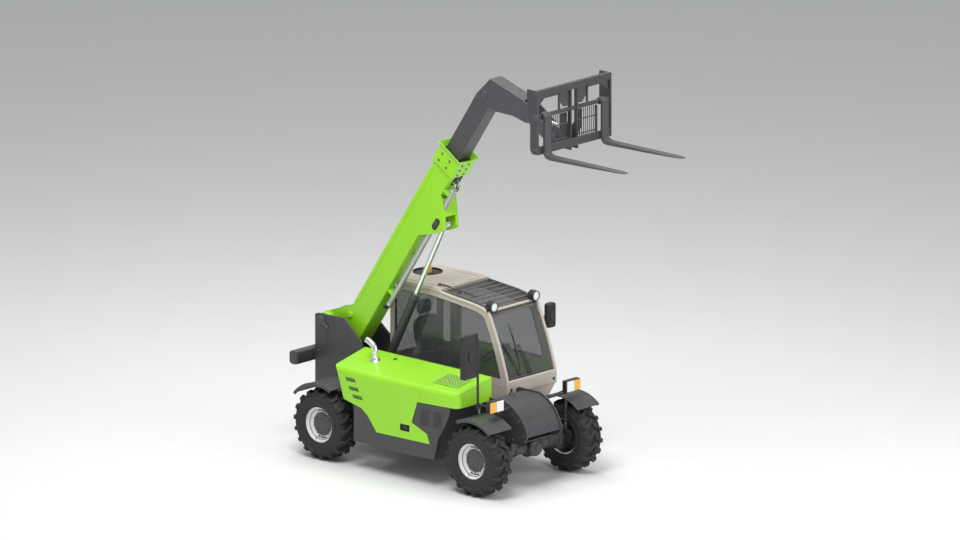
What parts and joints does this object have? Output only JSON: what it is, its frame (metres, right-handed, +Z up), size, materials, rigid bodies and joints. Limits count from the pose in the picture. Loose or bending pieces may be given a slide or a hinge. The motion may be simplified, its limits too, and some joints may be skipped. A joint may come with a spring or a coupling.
{
  "type": "telescopic handler",
  "caption": "Compact telescopic handler with a raised two-section boom, tilting pallet forks, four-wheel steering, side cab and hinged engine hood.",
  "frame": {"origin": "on the ground, under the middle of the whole machine's length and width as stored, boom raised", "axes": "+X forward along the machine, +Y to the driver's left, +Z up"},
  "size_m": [5.235, 2.12, 4.9],
  "materials": {
    "green_paint": "satin",
    "beige_paint": "satin",
    "dark_paint": "satin",
    "white_paint": "satin",
    "silver_paint": "satin",
    "bright_metal": "polished",
    "rod_chrome": "polished",
    "tyre_rubber": "matte",
    "black_plastic": "matte",
    "seat_fabric": "matte",
    "clear_glass": "clear",
    "lamp_clear": "clear",
    "lamp_amber": "clear",
    "lamp_red": "clear",
    "mirror_face": "polished"
  },
  "bodies": {
    "chassis": {"chassis_frame": "dark_paint", "nose_cover": "dark_paint", "rear_lamp_bar": "dark_paint", "red_lenses": "lamp_red", "front_axle": "dark_paint", "rear_axle": "dark_paint", "engine_bay": "dark_paint", "engine_block": "dark_paint", "left_tank": "dark_paint", "cab_frame": "beige_paint", "cab_floor": "black_plastic", "cab_front_panel": "beige_paint", "cab_roof": "beige_paint", "cab_glass": "clear_glass", "roof_guard": "black_plastic", "seat": "seat_fabric", "dash": "black_plastic", "lamp_housings": "black_plastic", "clear_lenses": "lamp_clear", "amber_lenses": "lamp_amber", "mirrors": "black_plastic", "mirror_glass": "mirror_face"},
    "door": {"door_panel": "green_paint", "door_frame": "beige_paint", "door_glass": "clear_glass"},
    "hood": {"hood": "green_paint", "exhaust": "bright_metal", "hood_grille": "green_paint", "hood_latch": "black_plastic"},
    "outer_boom": {"boom_outer": "green_paint", "extension_cylinder": "silver_paint", "lift_pin_covers": "black_plastic"},
    "inner_boom": {"boom_inner": "dark_paint"},
    "fork_carriage": {"fork_frame": "dark_paint", "forks": "dark_paint"},
    "lift_barrel": {"lift_barrel": "dark_paint"},
    "lift_rod": {"lift_rod": "rod_chrome"},
    "tilt_barrel": {"tilt_barrel": "dark_paint"},
    "tilt_rod": {"tilt_rod": "rod_chrome"},
    "knuckle_front_right": {"knuckle_front_right": "dark_paint"},
    "wheel_front_right": {"rim_front_right": "white_paint", "tyre_front_right": "tyre_rubber"},
    "knuckle_front_left": {"knuckle_front_left": "dark_paint"},
    "wheel_front_left": {"rim_front_left": "white_paint", "tyre_front_left": "tyre_rubber"},
    "knuckle_rear_right": {"knuckle_rear_right": "dark_paint"},
    "wheel_rear_right": {"rim_rear_right": "white_paint", "tyre_rear_right": "tyre_rubber"},
    "knuckle_rear_left": {"knuckle_rear_left": "dark_paint"},
    "wheel_rear_left": {"rim_rear_left": "white_paint", "tyre_rear_left": "tyre_rubber"}
  },
  "joints": [
    {"name": "boom_lift", "type": "hinge", "parent": "chassis", "child": "outer_boom", "pos_m": [-2.3775, -0.07, 1.475], "axis": [0, -1, 0], "range_deg": [-54, 11]},
    {"name": "boom_extend", "type": "slide", "parent": "outer_boom", "child": "inner_boom", "axis": [0.5519, 0, 0.8339], "range_m": [-0.75, 0.8]},
    {"name": "fork_tilt", "type": "hinge", "parent": "inner_boom", "child": "fork_carriage", "pos_m": [1.1175, -0.07, 4.17], "axis": [0, 1, 0], "range_deg": [-66, 40]},
    {"name": "lift_barrel_swing", "type": "hinge", "parent": "chassis", "child": "lift_barrel", "pos_m": [-1.7825, -0.07, 0.66], "axis": [0, -1, 0], "range_deg": [-53.2, 11]},
    {"name": "lift_rod_slide", "type": "slide", "parent": "lift_barrel", "child": "lift_rod", "axis": [0.4536, 0, 0.8912], "range_m": [-0.91, 0.19]},
    {"name": "tilt_barrel_swing", "type": "hinge", "parent": "inner_boom", "child": "tilt_barrel", "pos_m": [0.3165, -0.07, 4.462], "axis": [0, 1, 0], "range_deg": [-5, 3]},
    {"name": "tilt_rod_slide", "type": "slide", "parent": "tilt_barrel", "child": "tilt_rod", "axis": [0.9893, 0, -0.1459], "range_m": [-0.2, 0.12]},
    {"name": "steer_front_right", "type": "hinge", "parent": "chassis", "child": "knuckle_front_right", "pos_m": [0.5175, -0.6, 0.42], "axis": [0, 0, 1], "range_deg": [-28, 28]},
    {"name": "spin_front_right", "type": "hinge", "parent": "knuckle_front_right", "child": "wheel_front_right", "pos_m": [0.5175, -0.77, 0.42], "axis": [0, 1, 0], "continuous": true},
    {"name": "steer_front_left", "type": "hinge", "parent": "chassis", "child": "knuckle_front_left", "pos_m": [0.5175, 0.6, 0.42], "axis": [0, 0, 1], "range_deg": [-28, 28]},
    {"name": "spin_front_left", "type": "hinge", "parent": "knuckle_front_left", "child": "wheel_front_left", "pos_m": [0.5175, 0.77, 0.42], "axis": [0, 1, 0], "continuous": true},
    {"name": "steer_rear_right", "type": "hinge", "parent": "chassis", "child": "knuckle_rear_right", "pos_m": [-1.8825, -0.6, 0.42], "axis": [0, 0, 1], "range_deg": [-28, 28]},
    {"name": "spin_rear_right", "type": "hinge", "parent": "knuckle_rear_right", "child": "wheel_rear_right", "pos_m": [-1.8825, -0.77, 0.42], "axis": [0, 1, 0], "continuous": true},
    {"name": "steer_rear_left", "type": "hinge", "parent": "chassis", "child": "knuckle_rear_left", "pos_m": [-1.8825, 0.6, 0.42], "axis": [0, 0, 1], "range_deg": [-28, 28]},
    {"name": "spin_rear_left", "type": "hinge", "parent": "knuckle_rear_left", "child": "wheel_rear_left", "pos_m": [-1.8825, 0.77, 0.42], "axis": [0, 1, 0], "continuous": true},
    {"name": "door_swing", "type": "hinge", "parent": "chassis", "child": "door", "pos_m": [-1.3775, 0.913, 1.2], "axis": [0, 0, 1], "range_deg": [0, 85]},
    {"name": "hood_lift", "type": "hinge", "parent": "chassis", "child": "hood", "pos_m": [-0.8825, -0.334, 1.255], "axis": [-1, 0, 0], "range_deg": [0, 55]}
  ],
  "couplings": [
    {"joint": "lift_barrel_swing", "follows": "boom_lift", "ratio": 0.98},
    {"joint": "lift_rod_slide", "follows": "boom_lift", "m_per_rad": 0.96},
    {"joint": "tilt_barrel_swing", "follows": "fork_tilt", "ratio": 0.07},
    {"joint": "tilt_rod_slide", "follows": "fork_tilt", "m_per_rad": 0.17},
    {"joint": "steer_front_left", "follows": "steer_front_right", "ratio": 1},
    {"joint": "steer_rear_left", "follows": "steer_rear_right", "ratio": 1}
  ]
}
